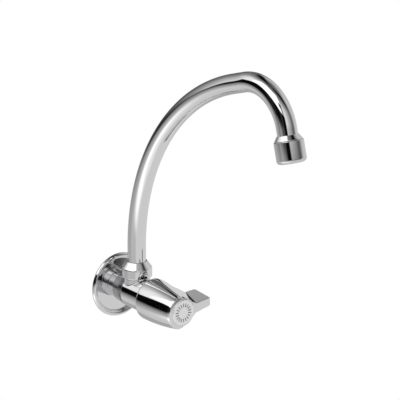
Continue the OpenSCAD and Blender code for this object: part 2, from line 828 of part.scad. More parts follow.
module nozzle() {
    color(chrome) on_outlet() difference() {
        union() {
            cylinder(d1 = nozzle_top_d, d2 = nozzle_base_d, h = nozzle_cone);
            rod(nozzle_thread_d / 2, nozzle_cone - 0.5, nozzle_end);
        }
        rod(socket_r, -over, socket_depth);
        rod(tube_bore_r, socket_depth - over, nozzle_end + over);
    }
}

module aerator_shell() {
    top_bevel = 0.6;
    color(chrome) on_outlet() difference() {
        rotate_extrude() {
            translate([0, shell_from + top_bevel])
                square([shell_d / 2, shell_len - shell_round - top_bevel]);
            translate([0, shell_from]) square([shell_d / 2 - top_bevel, shell_len - shell_round]);
            translate([shell_d / 2 - shell_round, shell_end - shell_round]) circle(r = shell_round);
            translate([0, shell_end - shell_round - over])
                square([shell_d / 2 - shell_round, shell_round + over]);
        }
        rod(shell_bore_r, shell_from - over, lip_at);
        rod(shell_mouth_d / 2, lip_at - over, shell_end + over);
    }
}

module aerator_gasket() {
    color(rubber) on_outlet()
        ring(tube_bore_r, core_r, aerator_gasket_at, aerator_gasket_at + aerator_gasket_t);
}

module aerator_screen() {
    hole_r = 0.75;
    pitch = 2.4;
    rings = 3;
    color(steel) on_outlet() translate([0, 0, screen_at]) difference() {
        cylinder(r = core_r, h = screen_t - 0.02);
        for (i = [1:rings], k = [0:6 * i - 1])
            rotate([0, 0, k * 60 / i]) translate([i * pitch * 0.92, 0, -over])
                cylinder(r = hole_r, h = screen_t + 2 * over, $fn = 16);
    }
}

// The core: a rim that the shell's lip carries and a grid of radial and round ribs
module aerator_core() {
    rib = 0.7;
    cup_r = shell_mouth_d / 2 - 0.2;
    cells = 12;
    color(nylon) on_outlet() {
        ring(cup_r - 1, core_r, core_at, core_at + core_rim_t);
        ring(cup_r - 1, cup_r, core_at, core_end);
        intersection() {
            rod(cup_r - 0.5, lip_at, core_end);
            union() {
                for (i = [0:cells / 2 - 1])
                    rotate([0, 0, i * 360 / cells]) translate([-cup_r, -rib / 2, lip_at])
                        cube([2 * cup_r, rib, core_end - lip_at]);
                for (i = [1:grid_rings])
                    ring((cup_r - 1) * i / (grid_rings + 1) - rib / 2,
                         (cup_r - 1) * i / (grid_rings + 1) + rib / 2, lip_at, core_end);
            }
        }
    }
}

wall_flange();
valve_body();
seat_gasket();
fixed_disc();
moving_disc();
bonnet();
bonnet_seal();
spindle();
thrust_washer();
spindle_seals();
spindle_clip();
spline_insert();
handle();
handle_screw();
index_cap();
spout_nut();
split_ring();
glide_washer();
spout_foot();
spout_seals();
spout_tube();
nozzle();
aerator_shell();
aerator_gasket();
aerator_core();
aerator_screen();
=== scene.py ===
import bpy
import json
import math
from mathutils import Matrix, Vector


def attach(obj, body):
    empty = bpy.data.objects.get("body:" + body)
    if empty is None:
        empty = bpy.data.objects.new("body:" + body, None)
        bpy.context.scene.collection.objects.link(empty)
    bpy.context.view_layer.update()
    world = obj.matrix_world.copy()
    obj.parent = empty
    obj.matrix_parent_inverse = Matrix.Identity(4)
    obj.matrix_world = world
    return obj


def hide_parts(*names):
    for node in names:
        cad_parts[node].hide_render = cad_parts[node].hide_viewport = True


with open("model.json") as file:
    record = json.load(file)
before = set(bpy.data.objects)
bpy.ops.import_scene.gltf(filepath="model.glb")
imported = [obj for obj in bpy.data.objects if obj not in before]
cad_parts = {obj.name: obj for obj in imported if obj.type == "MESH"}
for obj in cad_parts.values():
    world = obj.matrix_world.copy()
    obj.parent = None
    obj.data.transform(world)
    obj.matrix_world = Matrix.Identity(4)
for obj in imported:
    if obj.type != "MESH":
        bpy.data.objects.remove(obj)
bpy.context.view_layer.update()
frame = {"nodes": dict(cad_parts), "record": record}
nodes = frame["nodes"]
mm = 0.001
weld = 1e-6

# the three axes that the pieces are turned on
swivelFromWall = 28.5
spoutPath = {"riserTop": 40, "sweepRadius": 175, "sweepAngle": 74.6, "crest": 13.1,
             "crookRadius": 38.8, "lean": 15, "tail": 4.6, "tubeRadius": 8, "foot": 23.4, "socket": 3.6}
headings = [math.radians(spoutPath["sweepAngle"]), math.radians(180 - spoutPath["lean"])]


def along(point, heading, length):
    return Vector(point) + Vector((math.sin(heading), math.cos(heading))) * length


def bendCentre(point, heading, radius):
    return point + Vector((math.cos(heading), -math.sin(heading))) * radius


# places on the spout in its own plane: forwards from the swivel, and up
sweepStart = Vector((0, spoutPath["riserTop"]))
sweepCentre = bendCentre(sweepStart, 0, spoutPath["sweepRadius"])
sweepEnd = sweepCentre - bendCentre(Vector((0, 0)), headings[0], spoutPath["sweepRadius"])
crestEnd = along(sweepEnd, headings[0], spoutPath["crest"])
crookCentre = bendCentre(crestEnd, headings[0], spoutPath["crookRadius"])
crookEnd = crookCentre - bendCentre(Vector((0, 0)), headings[1], spoutPath["crookRadius"])
tailEnd = along(crookEnd, headings[1], spoutPath["tail"])


def inRoom(point):
    return Vector((0, -(swivelFromWall + point[0]) * mm, point[1] * mm))


def outletFrame():
    down = Vector((0, -math.sin(headings[1]), math.cos(headings[1])))
    side = Vector((1, 0, 0))
    turn = Matrix((side, down.cross(side), down)).transposed().to_4x4()
    return Matrix.Translation(inRoom(tailEnd)) @ turn


valveAxis = Matrix.Rotation(math.radians(90), 4, "X")
swivelAxis = Matrix.Translation((0, -swivelFromWall * mm, 0))
outletAxis = outletFrame()

# helpers for modelling


def clearSelection():
    if bpy.context.object and bpy.context.object.mode != "OBJECT":
        bpy.ops.object.mode_set(mode="OBJECT")
    bpy.ops.object.select_all(action="DESELECT")


def pickOnly(piece):
    clearSelection()
    piece.select_set(True)
    bpy.context.view_layer.objects.active = piece


def setPlace(piece, place):
    pickOnly(piece)
    piece.matrix_world = place @ piece.matrix_world
    bpy.ops.object.transform_apply(location=True, rotation=True, scale=True)


def cleanMesh(piece):
    pickOnly(piece)
    bpy.ops.object.mode_set(mode="EDIT")
    bpy.ops.mesh.select_all(action="SELECT")
    bpy.ops.mesh.remove_doubles(threshold=weld)
    bpy.ops.mesh.normals_make_consistent(inside=False)
    bpy.ops.object.mode_set(mode="OBJECT")


def smoothEdges(piece, angle=32):
    pickOnly(piece)
    bpy.ops.object.shade_smooth_by_angle(angle=math.radians(angle))


def useModifier(piece, kind, **settings):
    pickOnly(piece)
    step = piece.modifiers.new(kind.lower(), kind)
    for name, value in settings.items():
        setattr(step, name, value)
    bpy.ops.object.modifier_apply(modifier=step.name)


def mergePieces(kept, other, operation="UNION"):
    useModifier(kept, "BOOLEAN", operation=operation, object=other, solver="EXACT")
    bpy.data.objects.remove(other, do_unlink=True)


# closed pieces that overlap, made into one skin with an even grain
def fusePieces(kept, others, grain):
    pickOnly(kept)
    for other in others:
        other.select_set(True)
    bpy.ops.object.join()
    useModifier(kept, "REMESH", mode="VOXEL", voxel_size=grain * mm, use_smooth_shade=True)
    useModifier(kept, "SMOOTH", factor=0.5, iterations=5)


# all of a closed piece that lies beyond a plane is taken off
def cutBeyond(piece, point, normal):
    clearSelection()
    side = 200 * mm
    bpy.ops.mesh.primitive_cube_add(size=side)
    slab = bpy.context.object
    facing = normal.to_track_quat("Z", "Y").to_matrix().to_4x4()
    setPlace(slab, Matrix.Translation(point + normal * side / 2) @ facing)
    mergePieces(piece, slab, "DIFFERENCE")


# corners are (across, along, rounding): each rounding becomes a short arc with close loops beside it
def softCorners(corners, closed=False):
    path = []
    count = len(corners)
    for i, (across, up, rounding) in enumerate(corners):
        here = Vector((across, up))
        if rounding == 0 or (not closed and i in (0, count - 1)):
            path.append(here)
            continue
        before = Vector(corners[i - 1][:2]) - here
        after = Vector(corners[(i + 1) % count][:2]) - here
        half = before.angle(after) / 2
        reach = min(rounding / math.tan(half), 0.48 * before.length, 0.48 * after.length)
        radius = reach * math.tan(half)
        before.normalize()
        after.normalize()
        centre = here + (before + after).normalized() * (radius / math.sin(half))
        start = here + before * reach - centre
        turn = start.angle_signed(here + after * reach - centre)
        steps = max(3, round(abs(math.degrees(turn)) / 12))
        close = min(0.25, reach * 0.5)
        path.append(here + before * (reach + close))
        for k in range(steps + 1):
            spoke = start.copy()
            spoke.rotate(Matrix.Rotation(-turn * k / steps, 2))
            path.append(centre + spoke)
        path.append(here + after * (reach + close))
    return path


# points of an arc, without its first one unless that is asked for
def arcPoints(centre, radius, start, end, steps, first=1):
    turns = [start + (end - start) * k / steps for k in range(first, steps + 1)]
    return [Vector(centre) + Vector((math.cos(turn), math.sin(turn))) * radius for turn in turns]


# a new piece that is one point, left in edit mode for the outline to grow from
def startPoint(name, place):
    clearSelection()
    bpy.ops.mesh.primitive_plane_add(size=mm, location=place)
    piece = bpy.context.object
    piece.name = name
    piece.data.name = name
    bpy.ops.object.transform_apply(location=True, rotation=True, scale=True)
    bpy.ops.object.mode_set(mode="EDIT")
    bpy.ops.mesh.select_all(action="SELECT")
    bpy.ops.mesh.merge(type="CENTER")
    return piece


# an outline is drawn point by point, then spun round local Z and set on its axis
def turnPiece(name, path, axis, steps=144):
    piece = startPoint(name, (path[0][0] * mm, 0, path[0][1] * mm))
    for a, b in zip(path, path[1:]):
        move = ((b[0] - a[0]) * mm, 0, (b[1] - a[1]) * mm)
        bpy.ops.mesh.extrude_vertices_move(TRANSFORM_OT_translate={"value": move})
    bpy.ops.mesh.select_all(action="SELECT")
    bpy.ops.mesh.spin(steps=steps, angle=2 * math.pi, center=(0, 0, 0), axis=(0, 0, 1))
    bpy.ops.object.mode_set(mode="OBJECT")
    cleanMesh(piece)
    setPlace(piece, axis)
    smoothEdges(piece)
    return piece


# a flat outline is drawn in local X and Y, filled and pulled up along local Z
def platePiece(name, path, low, high, place):
    piece = startPoint(name, (path[0][0] * mm, path[0][1] * mm, low * mm))
    for a, b in zip(path, path[1:]):
        move = ((b[0] - a[0]) * mm, (b[1] - a[1]) * mm, 0)
        bpy.ops.mesh.extrude_vertices_move(TRANSFORM_OT_translate={"value": move})
    bpy.ops.mesh.select_all(action="SELECT")
    bpy.ops.mesh.edge_face_add()
    bpy.ops.mesh.extrude_region_move(TRANSFORM_OT_translate={"value": (0, 0, (high - low) * mm)})
    bpy.ops.object.mode_set(mode="OBJECT")
    cleanMesh(piece)
    setPlace(piece, place)
    return piece


def cutPlane(piece, point, normal):
    pickOnly(piece)
    bpy.ops.object.mode_set(mode="EDIT")
    bpy.ops.mesh.select_all(action="SELECT")
    bpy.ops.mesh.bisect(plane_co=point, plane_no=normal, use_fill=True, clear_outer=True)
    bpy.ops.object.mode_set(mode="OBJECT")


def finishPiece(piece, body, slotName, material, *stoodFor):
    piece.data.materials.clear()
    piece.data.materials.append(material)
    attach(piece, body)
    if stoodFor:
        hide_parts(*stoodFor)
    print(f"{piece.name}: {len(piece.data.polygons)} faces")


# a node's output that takes part in sums, as Math nodes
class Value:
    def __init__(self, tree, socket):
        self.tree = tree
        self.socket = socket

    def using(self, operation, other, swapped=False):
        node = self.tree.nodes.new("ShaderNodeMath")
        node.operation = operation
        for place, term in enumerate((other, self) if swapped else (self, other)):
            if isinstance(term, Value):
                self.tree.links.new(term.socket, node.inputs[place])
            elif term is not None:
                node.inputs[place].default_value = term
        return Value(self.tree, node.outputs[0])

    def __add__(self, other):
        return self.using("ADD", other)

    def __radd__(self, other):
        return self.using("ADD", other, True)

    def __sub__(self, other):
        return self.using("SUBTRACT", other)

    def __rsub__(self, other):
        return self.using("SUBTRACT", other, True)

    def __mul__(self, other):
        return self.using("MULTIPLY", other)

    def __rmul__(self, other):
        return self.using("MULTIPLY", other, True)

    def __truediv__(self, other):
        return self.using("DIVIDE", other)


# makes the nodes of one tree
class Weave:
    def __init__(self, tree):
        self.tree = tree

    # any node, with its settings first and then its sockets' values or links
    def node(self, kind, settings=None, **sockets):
        node = self.tree.nodes.new(kind)
        for name, value in (settings or {}).items():
            if name == "stops":
                ramp = node.color_ramp
                while len(ramp.elements) < len(value):
                    ramp.elements.new(0.5)
                for stop, (place, shade) in zip(ramp.elements, value):
                    stop.position = place
                    stop.color = shade
            else:
                setattr(node, name, value)
        for name, value in sockets.items():
            socket = node.inputs[name.replace("_", " ")]
            if isinstance(value, Value):
                self.tree.links.new(value.socket, socket)
            else:
                socket.default_value = value
        return node

    def taken(self, node, output=0):
        return Value(self.tree, node.outputs[output])

    # a soft step from 0 to 1 about a place
    def rise(self, value, at, soft):
        return self.taken(self.node("ShaderNodeMapRange", {"interpolation_type": "SMOOTHSTEP"}, Value=value,
                                    From_Min=at - soft / 2, From_Max=at + soft / 2))

    # 1 between two places, 0 outside them
    def band(self, value, low, high, soft):
        return self.rise(value, low, soft) * (1 - self.rise(value, high, soft))

    # tones at stated places, joined by straight lines
    def tones(self, value, stops):
        first, last = stops[0][0], stops[-1][0]
        grey = [((at - first) / (last - first), (tone, tone, tone, 1)) for at, tone in stops]
        return self.taken(self.node("ShaderNodeValToRGB", {"stops": grey}, Fac=(value - first) / (last - first)))

    # one shader or the other, by a factor
    def choose(self, factor, first, second):
        mix = self.node("ShaderNodeMixShader", Fac=factor)
        self.tree.links.new(first.outputs[0], mix.inputs[1])
        self.tree.links.new(second.outputs[0], mix.inputs[2])
        return mix


# a material round one Principled shader
class Finish(Weave):
    def __init__(self, name, colour, metallic, roughness):
        self.material = bpy.data.materials.new(name)
        self.material.use_nodes = True
        super().__init__(self.material.node_tree)
        self.shader = self.tree.nodes["Principled BSDF"]
        self.shader.inputs["Base Color"].default_value = (*colour, 1)
        self.shader.inputs["Metallic"].default_value = metallic
        self.shader.inputs["Roughness"].default_value = roughness

    def place(self):
        return self.taken(self.node("ShaderNodeTexCoord"), "Object")

    def noise(self, scale, detail=3, rough=0.5, stretch=(1, 1, 1)):
        spot = self.node("ShaderNodeMapping", Vector=self.place(), Scale=stretch)
        return self.taken(self.node("ShaderNodeTexNoise", Vector=self.taken(spot), Scale=scale, Detail=detail,
                                    Roughness=rough), "Fac")

    # a colour between two others, each of them fixed or a node's
    def blend(self, mask, low, high):
        mix = self.node("ShaderNodeMix", {"data_type": "RGBA"})
        self.tree.links.new(mask.socket, mix.inputs[0])
        for place, colour in ((6, low), (7, high)):
            if isinstance(colour, Value):
                self.tree.links.new(colour.socket, mix.inputs[place])
            else:
                mix.inputs[place].default_value = (*colour, 1)
        return self.taken(mix, 2)

    def feed(self, name, value):
        self.tree.links.new(value.socket, self.shader.inputs[name])

    def bump(self, height, strength, distance):
        node = self.node("ShaderNodeBump", Height=height, Strength=strength, Distance=distance)
        self.feed("Normal", self.taken(node))


# plated metal: a mirror with a faint unevenness, soft wiping marks and a grain that follows the making.
# each band along the valve adds roughness and a darker tone painted on as reflection, and
# "proud" is how far out a cap's marks start
def platedFinish(name, look):
    finish = Finish(name, look["colour"], look.get("metallic", 1.0), look["roughness"])
    smudges = finish.noise(look["smudgeScale"], 4, 0.55)
    marks = finish.noise(look["markScale"], 2, 0.6, look["markStretch"])
    cloud = smudges * 0.7 + marks * 0.3
    rough = cloud * look["roughSpread"] + (look["roughness"] - look["roughSpread"] * 0.5)
    colour = finish.blend(smudges, look["colourLow"], look["colour"])
    outwards = finish.taken(finish.node("ShaderNodeSeparateXYZ", Vector=finish.place()), 1) / -mm
    # each band adds roughness and blends the colour towards a darker tone, which is painted reflection
    for low, high, dullRough, shade in look.get("paintedReflectionBands", ()):
        reflectionBand = finish.band(outwards, low, high, 1)
        rough = rough + reflectionBand * dullRough
        colour = finish.blend(reflectionBand, colour, (shade, shade, shade * 1.02))
    if "proud" in look:
        colour = finish.blend(finish.rise(outwards, look["proud"], 0.12), colour, look["markColour"])
    finish.feed("Roughness", rough)
    finish.feed("Base Color", colour)
    ripple = finish.noise(look["rippleScale"], 1, 0.4)
    finish.bump(ripple + marks * look["markDepth"], look["rippleStrength"], 0.2 * mm)
    return finish.material


def plainFinish(name, look):
    finish = Finish(name, look["colour"], look["metallic"], look["roughness"])
    grain = finish.noise(look["grainScale"], 4, 0.6)
    finish.feed("Roughness", grain * look["roughSpread"] + (look["roughness"] - look["roughSpread"] * 0.5))
    finish.feed("Base Color", finish.blend(grain, look["colourLow"], look["colour"]))
    finish.bump(grain, look["bump"], 0.2 * mm)
    return finish.material


plating = {"colour": (0.87, 0.87, 0.875), "colourLow": (0.835, 0.835, 0.84), "roughness": 0.035,
           "roughSpread": 0.03, "smudgeScale": 45, "markScale": 900, "markStretch": (1, 1, 1),
           "markDepth": 0.15, "rippleScale": 160, "rippleStrength": 0.02}
drawnChrome = platedFinish("drawnChrome", {**plating, "rippleScale": 90, "rippleStrength": 0.015})
castChrome = platedFinish("castChrome", {**plating, "rippleScale": 130, "rippleStrength": 0.03})
# the neck and the shoulder of the valve body take darker tones, which are painted reflection
bodyChrome = platedFinish("bodyChrome", {**plating, "rippleScale": 130, "rippleStrength": 0.03,
                                         "paintedReflectionBands": ((-1, 9.3, 0.03, 0.66), (9.3, 23.6, 0.1, 0.42))})
turnedChrome = platedFinish("turnedChrome", {**plating, "markStretch": (0.15, 0.15, 1), "roughness": 0.045})
shellChrome = platedFinish("shellChrome", {**plating, "markStretch": (0.15, 0.15, 1), "roughness": 0.045,
                                           "colour": (0.78, 0.78, 0.79), "colourLow": (0.74, 0.74, 0.75)})
pressedChrome = platedFinish("pressedChrome", {**plating, "rippleScale": 60, "rippleStrength": 0.04})
satinChrome = platedFinish("satinChrome", {**plating, "colour": (0.95, 0.95, 0.95), "colourLow": (0.91, 0.91, 0.92),
                                           "roughness": 0.3, "roughSpread": 0.08, "metallic": 0.7, "proud": 93.1,
                                           "markColour": (0.3, 0.3, 0.31)})
brassMetal = plainFinish("turnedBrass", {"colour": (0.78, 0.58, 0.27), "colourLow": (0.68, 0.49, 0.21),
                                         "metallic": 1.0, "roughness": 0.3, "roughSpread": 0.12,
                                         "grainScale": 500, "bump": 0.08})
steelMetal = plainFinish("springSteel", {"colour": (0.6, 0.61, 0.62), "colourLow": (0.5, 0.51, 0.52),
                                         "metallic": 1.0, "roughness": 0.34, "roughSpread": 0.12,
                                         "grainScale": 700, "bump": 0.1})
whiteCeramic = plainFinish("valveCeramic", {"colour": (0.86, 0.86, 0.82), "colourLow": (0.8, 0.8, 0.76),
                                            "metallic": 0.0, "roughness": 0.22, "roughSpread": 0.08,
                                            "grainScale": 900, "bump": 0.03})
blackRubber = plainFinish("sealRubber", {"colour": (0.035, 0.035, 0.037), "colourLow": (0.02, 0.02, 0.021),
                                         "metallic": 0.0, "roughness": 0.6, "roughSpread": 0.2,
                                         "grainScale": 1200, "bump": 0.2})
paleNylon = plainFinish("mouldedNylon", {"colour": (0.8, 0.79, 0.74), "colourLow": (0.74, 0.73, 0.68),
                                         "metallic": 0.0, "roughness": 0.45, "roughSpread": 0.12,
                                         "grainScale": 800, "bump": 0.08})

# the inner pieces stay as the solids have them and take their slot's finish
slotFinish = {"chrome": castChrome, "cap": satinChrome, "brass": brassMetal, "steel": steelMetal,
              "ceramic": whiteCeramic, "rubber": blackRubber, "nylon": paleNylon}
for part in frame["record"]["subparts"]:
    mesh = nodes[part["node"]].data
    mesh.materials.clear()
    mesh.materials.append(slotFinish[part["material_slot"]])
print("finishes made")

# wall flange: a dished sheet with a rolled bead round its rim

flangeSizes = {"bore": 10.63, "radius": 29, "bead": 2.2, "beadAt": 2.3, "face": 1.2, "sheet": 0.8, "foot": 2,
               "hollow": 0.6, "flat": 4, "beadFrom": -52}


def makeFlange(size):
    face, bead, hollow = size["face"], size["bead"], size["hollow"]
    back, start = face - size["sheet"], size["bore"] + size["flat"]
    middle = Vector((size["radius"] - bead, size["beadAt"]))
    hollowUp = face + hollow - size["beadAt"]
    hollowTurn = math.asin(-hollowUp / (bead + hollow))
    hollowAt = middle + Vector((-math.sqrt((bead + hollow) ** 2 - hollowUp ** 2), hollowUp))
    inner, outer = middle[0] - size["foot"] / 2, middle[0] + size["foot"] / 2
    path = softCorners([(start, face, 0), (size["bore"], face, 0.2), (size["bore"], back, 0.2), (inner, back, 0)])
    path += [Vector((inner, 0)), Vector((outer, 0))]
    path += arcPoints(middle, bead, math.radians(size["beadFrom"]), math.pi + hollowTurn, 32, 0)
    path += arcPoints(hollowAt, hollow, hollowTurn, -math.pi / 2, 6)
    path += [Vector((hollowAt[0] - 0.3, face)), path[0].copy()]
    piece = turnPiece("wallFlange", path, valveAxis, 192)
    finishPiece(piece, "tap_body", "chrome", pressedChrome, "wall_flange")


makeFlange(flangeSizes)

# valve body: barrel, boss and inlet thread

bodySizes = {"thread": 10.48, "threadEnd": -16, "undercut": 9.58, "neck": 12, "face": 1.2, "rear": 9.3,
             "rearRadius": 13.1, "barrel": 14.5, "shoulderEnd": 24, "mouth": 51, "inletBore": 6.75,
             "boss": 11.5, "bossSeat": 15, "bossThread": 10.4, "bossTop": 21.2, "bossBore": 8.3,
             "grain": 0.32, "threadPitch": 1.814, "threadDepth": 1.0, "threadLap": 0.15, "threadStart": 0.3,
             "waterway": ((0, -1), (6.75, -1), (6.75, 15), (5.8, 16.5), (5.8, 19), (9.5, 19), (9.5, 23), (11, 24.5),
                          (11, 37), (9.5, 38.5), (10.48, 38.5), (10.48, 49.2), (12.22, 49.2), (12.22, 52), (0, 52))}


def makeBody(size):
    outside = softCorners([
        (0, 0.2, 0), (size["undercut"], 0.2, 0), (size["undercut"], size["face"], 0),
        (size["neck"], size["face"], 0.2), (size["neck"], size["rear"], 0.8),
        (size["rearRadius"], size["rear"], 0.8), (size["barrel"], size["shoulderEnd"], 4),
        (size["barrel"], size["mouth"], 0.6), (0, size["mouth"], 0)])
    piece = turnPiece("valveBody", outside, valveAxis, 160)
    boss = turnPiece("boss", softCorners([
        (0, 0, 0), (size["boss"], 0, 0), (size["boss"], size["bossSeat"], 0.3),
        (size["bossThread"], size["bossSeat"], 0), (size["bossThread"], size["bossTop"], 0.4),
        (0, size["bossTop"], 0)]), swivelAxis, 128)
    mergePieces(piece, boss)
    fusePieces(piece, (), size["grain"])
    mergePieces(piece, turnPiece("waterway", size["waterway"], valveAxis, 96), "DIFFERENCE")
    bore, above = size["bossBore"], size["bossTop"] + 1.8
    inside = turnPiece("bossBore", [(0, 0), (bore, 0), (bore, above), (0, above)], swivelAxis, 96)
    mergePieces(piece, inside, "DIFFERENCE")
    smoothEdges(piece, 40)
    finishPiece(piece, "tap_body", "chrome", bodyChrome, "valve_body")


# a running thread: one tooth is turned and climbed, then set over the core and trimmed
def makeInletThread(size):
    low, high, bore = size["threadEnd"], size["threadStart"], size["inletBore"]
    pitch, depth = size["threadPitch"], size["threadDepth"]
    root, rise = size["thread"] - depth, depth + size["threadLap"]
    core = turnPiece("inletThread", softCorners([
        (bore, low, 0), (root, low, 0.5), (root, high, 0), (bore, high, 0), (bore, low, 0)]), valveAxis, 96)
    tooth = startPoint("tooth", ((size["thread"] - rise) * mm, 0, (low - pitch) * mm))
    for move in ((rise, pitch * 0.4), (0, pitch * 0.12), (-rise, pitch * 0.4)):
        bpy.ops.mesh.extrude_vertices_move(TRANSFORM_OT_translate={"value": (move[0] * mm, 0, move[1] * mm)})
    bpy.ops.object.mode_set(mode="OBJECT")
    turns = math.ceil((high - low) / pitch) + 2
    useModifier(tooth, "SCREW", angle=2 * math.pi, screw_offset=pitch * mm, iterations=turns, steps=72,
                render_steps=72, axis="Z", use_merge_vertices=True, merge_threshold=weld)
    setPlace(tooth, valveAxis)
    cutPlane(tooth, (0, -(high - 0.4) * mm, 0), (0, -1, 0))
    cutPlane(tooth, (0, -(low + 0.5) * mm, 0), (0, 1, 0))
    pickOnly(core)
    tooth.select_set(True)
    bpy.ops.object.join()
    smoothEdges(core, 40)
    finishPiece(core, "tap_body", "chrome", turnedChrome)


makeBody(bodySizes)
makeInletThread(bodySizes)

# spout: its nut, tube, nozzle and aerator shell

nutSizes = {"bore": 10.46, "radius": 13.2, "bottom": 15.2, "bandTop": 23.45, "top": 29.25, "topRadius": 8.9,
            "sleeve": 8.25, "shoulder": 24.2, "seam": 18}


def makeNut(size):
    path = softCorners([
        (size["bore"], size["seam"], 0), (size["bore"], size["bottom"], 0.3), (size["radius"], size["bottom"], 0.8),
        (size["radius"], size["bandTop"], 1.3), (size["topRadius"], size["top"], 0.3),
        (size["sleeve"], size["top"], 0.2), (size["sleeve"], size["shoulder"], 0),
        (size["bore"], size["shoulder"], 0), (size["bore"], size["seam"], 0)])
    piece = turnPiece("spoutNut", path, swivelAxis, 160)
    finishPiece(piece, "tap_body", "chrome", turnedChrome, "spout_nut")


def makeTube(size):
    clearSelection()
    bpy.ops.mesh.primitive_circle_add(vertices=96, radius=size["tubeRadius"] * mm, fill_type="NGON",
                                      location=inRoom((0, size["foot"])))
    piece = bpy.context.object
    piece.name = piece.data.name = "spoutTube"
    bpy.ops.object.transform_apply(location=True, rotation=True, scale=True)
    bpy.ops.object.mode_set(mode="EDIT")
    bpy.ops.mesh.select_all(action="SELECT")

    # each straight run is pulled out, and each bend is spun on round its own centre
    def pull(start, heading, length, parts):
        step = inRoom(along(start, heading, length / parts)) - inRoom(start)
        for _ in range(parts):
            bpy.ops.mesh.extrude_region_move(TRANSFORM_OT_translate={"value": step})

    def bendOn(centre, angle, steps):
        bpy.ops.mesh.spin(steps=steps, angle=angle, center=inRoom(centre), axis=(-1, 0, 0))

    pull((0, size["foot"]), 0, size["riserTop"] - size["foot"], 6)
    bendOn(sweepCentre, headings[0], 110)
    pull(sweepEnd, headings[0], size["crest"], 4)
    bendOn(crookCentre, headings[1] - headings[0], 60)
    pull(crookEnd, headings[1], size["tail"] + size["socket"], 3)
    bpy.ops.object.mode_set(mode="OBJECT")
    cleanMesh(piece)
    smoothEdges(piece, 40)
    finishPiece(piece, "spout", "chrome", drawnChrome, "spout_tube")


outletSizes = {"coneTop": 8.45, "coneBase": 11.1, "cone": 4, "thread": 10, "threadEnd": 12.4, "bore": 7,
               "socket": 8.06, "shell": 11.6, "shellFrom": 4.1, "shellLength": 17.1, "lipRound": 3,
               "shellBore": 10.06, "mouth": 8.3, "lip": 1.4}


def makeNozzle(size):
    path = softCorners([
        (size["socket"], 2, 0), (size["socket"], 0, 0.1), (size["coneTop"], 0, 0.15),
        (size["coneBase"], size["cone"], 0.25), (size["thread"], size["cone"] + 0.05, 0),
        (size["thread"], size["threadEnd"], 0.3), (size["bore"], size["threadEnd"], 0.2),
        (size["bore"], 4, 0), (size["socket"], 4, 0), (size["socket"], 2, 0)])
    piece = turnPiece("outletCone", path, outletAxis, 144)
    finishPiece(piece, "spout", "chrome", turnedChrome, "nozzle")


def makeShell(size):
    end, lip = size["shellFrom"] + size["shellLength"], size["lipRound"]
    path = softCorners([
        (size["shellBore"], 9, 0), (size["shellBore"], size["shellFrom"], 0.2),
        (size["shell"], size["shellFrom"], 1.0), (size["shell"], end - lip, 0)])
    path += arcPoints((size["shell"] - lip, end - lip), lip, 0, math.pi / 2, 12)
    path += softCorners([
        (size["mouth"] + 0.2, end, 0), (size["mouth"], end - 0.2, 0), (size["mouth"], end - size["lip"], 0.1),
        (size["shellBore"], end - size["lip"], 0), (size["shellBore"], 9, 0)])
    piece = turnPiece("aeratorShell", path, outletAxis, 160)
    finishPiece(piece, "spout", "chrome", shellChrome, "aerator_shell")


makeNut(nutSizes)
makeTube(spoutPath)
makeNozzle(outletSizes)
makeShell(outletSizes)

# lever: the handle and its cap

handleSizes = {"rear": 49, "front": 92.5, "peak": 54, "barrel": 18.5, "curve": 205, "rearRound": 1.6,
               "frontRound": 1.9, "bezel": 12.6, "facetTilt": 31, "facetReach": 17.6, "facetSlope": 9.8,
               "facetRear": 55.5, "facetSoft": 160, "wingReach": 36.1, "wingRear": 64, "wingSweep": 3.8,
               "wingDraft": 3, "wingCorner": 1.8, "wingRoot": 8.4, "wingTip": 6.8, "skirtBore": 15.7,
               "skirtDepth": 7, "hubBore": 12.4, "hubFloor": 72.85, "socket": 6.56, "key": 7.56, "keyHalf": 1.26,
               "webAt": 83.05, "screwBore": 2.2, "recess": 10.6, "recessAt": 85.45, "capSeat": 11.3, "capBack": 90.6,
               "over": 4, "closedRise": 2, "grain": 0.36,
               "wingStart": ((0, 55.5, 0), (12.2, 57.5, 0), (16.2, 59.5, 0.8))}


# how far the barrel has narrowed at a distance from the wall
def barrelFall(size, out):
    return size["curve"] - math.sqrt(size["curve"] ** 2 - (out - size["peak"]) ** 2)


def barrelPath(size):
    path = softCorners([(0, size["rear"], 0), (size["barrel"] - 0.06, size["rear"], size["rearRound"]),
                        (size["barrel"], size["peak"], 0)])
    steps = 24
    last = size["front"]
    for i in range(1, steps + 1):
        out = size["peak"] + (last - size["peak"]) * i / steps
        path.append(Vector((size["barrel"] - barrelFall(size, out), out)))
    front = path.pop()
    while path[-1][1] > last - size["frontRound"] - 0.5:
        path.pop()
    path += softCorners([(*path[-1], 0), (*front, size["frontRound"]), (0, last, 0)])[1:]
    return path


def wingPlan(size):
    reach, rear, corner = size["wingReach"], size["wingRear"], size["wingCorner"]
    front = size["front"] - 0.2
    outline = softCorners([
        *size["wingStart"], (24, rear + 0.6, 2), (reach, rear - 0.6, corner),
        (reach - size["wingDraft"], size["front"] - size["wingSweep"], corner), (size["bezel"] + 1.6, front, 2),
        (0, front, 0)])
    return [Vector((across, -out)) for across, out in outline]


# the edge between barrel and facet is rubbed round, as on a polished casting
def softenFacetEdge(piece, size, side):
    tilt, slope = math.radians(size["facetTilt"]), math.radians(size["facetSlope"])
    chosen = []
    for vertex in piece.data.vertices:
        across, out, up = vertex.co.x / mm, -vertex.co.y / mm, side * vertex.co.z / mm
        reach = size["facetReach"] - math.tan(slope) * (out - size["facetRear"])
        offBarrel = math.hypot(across, up) - size["barrel"] + barrelFall(size, out)
        offFacet = across * math.sin(tilt) + up * math.cos(tilt) - reach
        if abs(offBarrel) < 1.3 and abs(offFacet) < 1.5 and out > size["facetRear"]:
            chosen.append(vertex.index)
    group = piece.vertex_groups.new(name="facetEdge")
    group.add(chosen, 1.0, "REPLACE")
    useModifier(piece, "SMOOTH", factor=0.5, iterations=size["facetSoft"], vertex_group=group.name)
    piece.vertex_groups.clear()


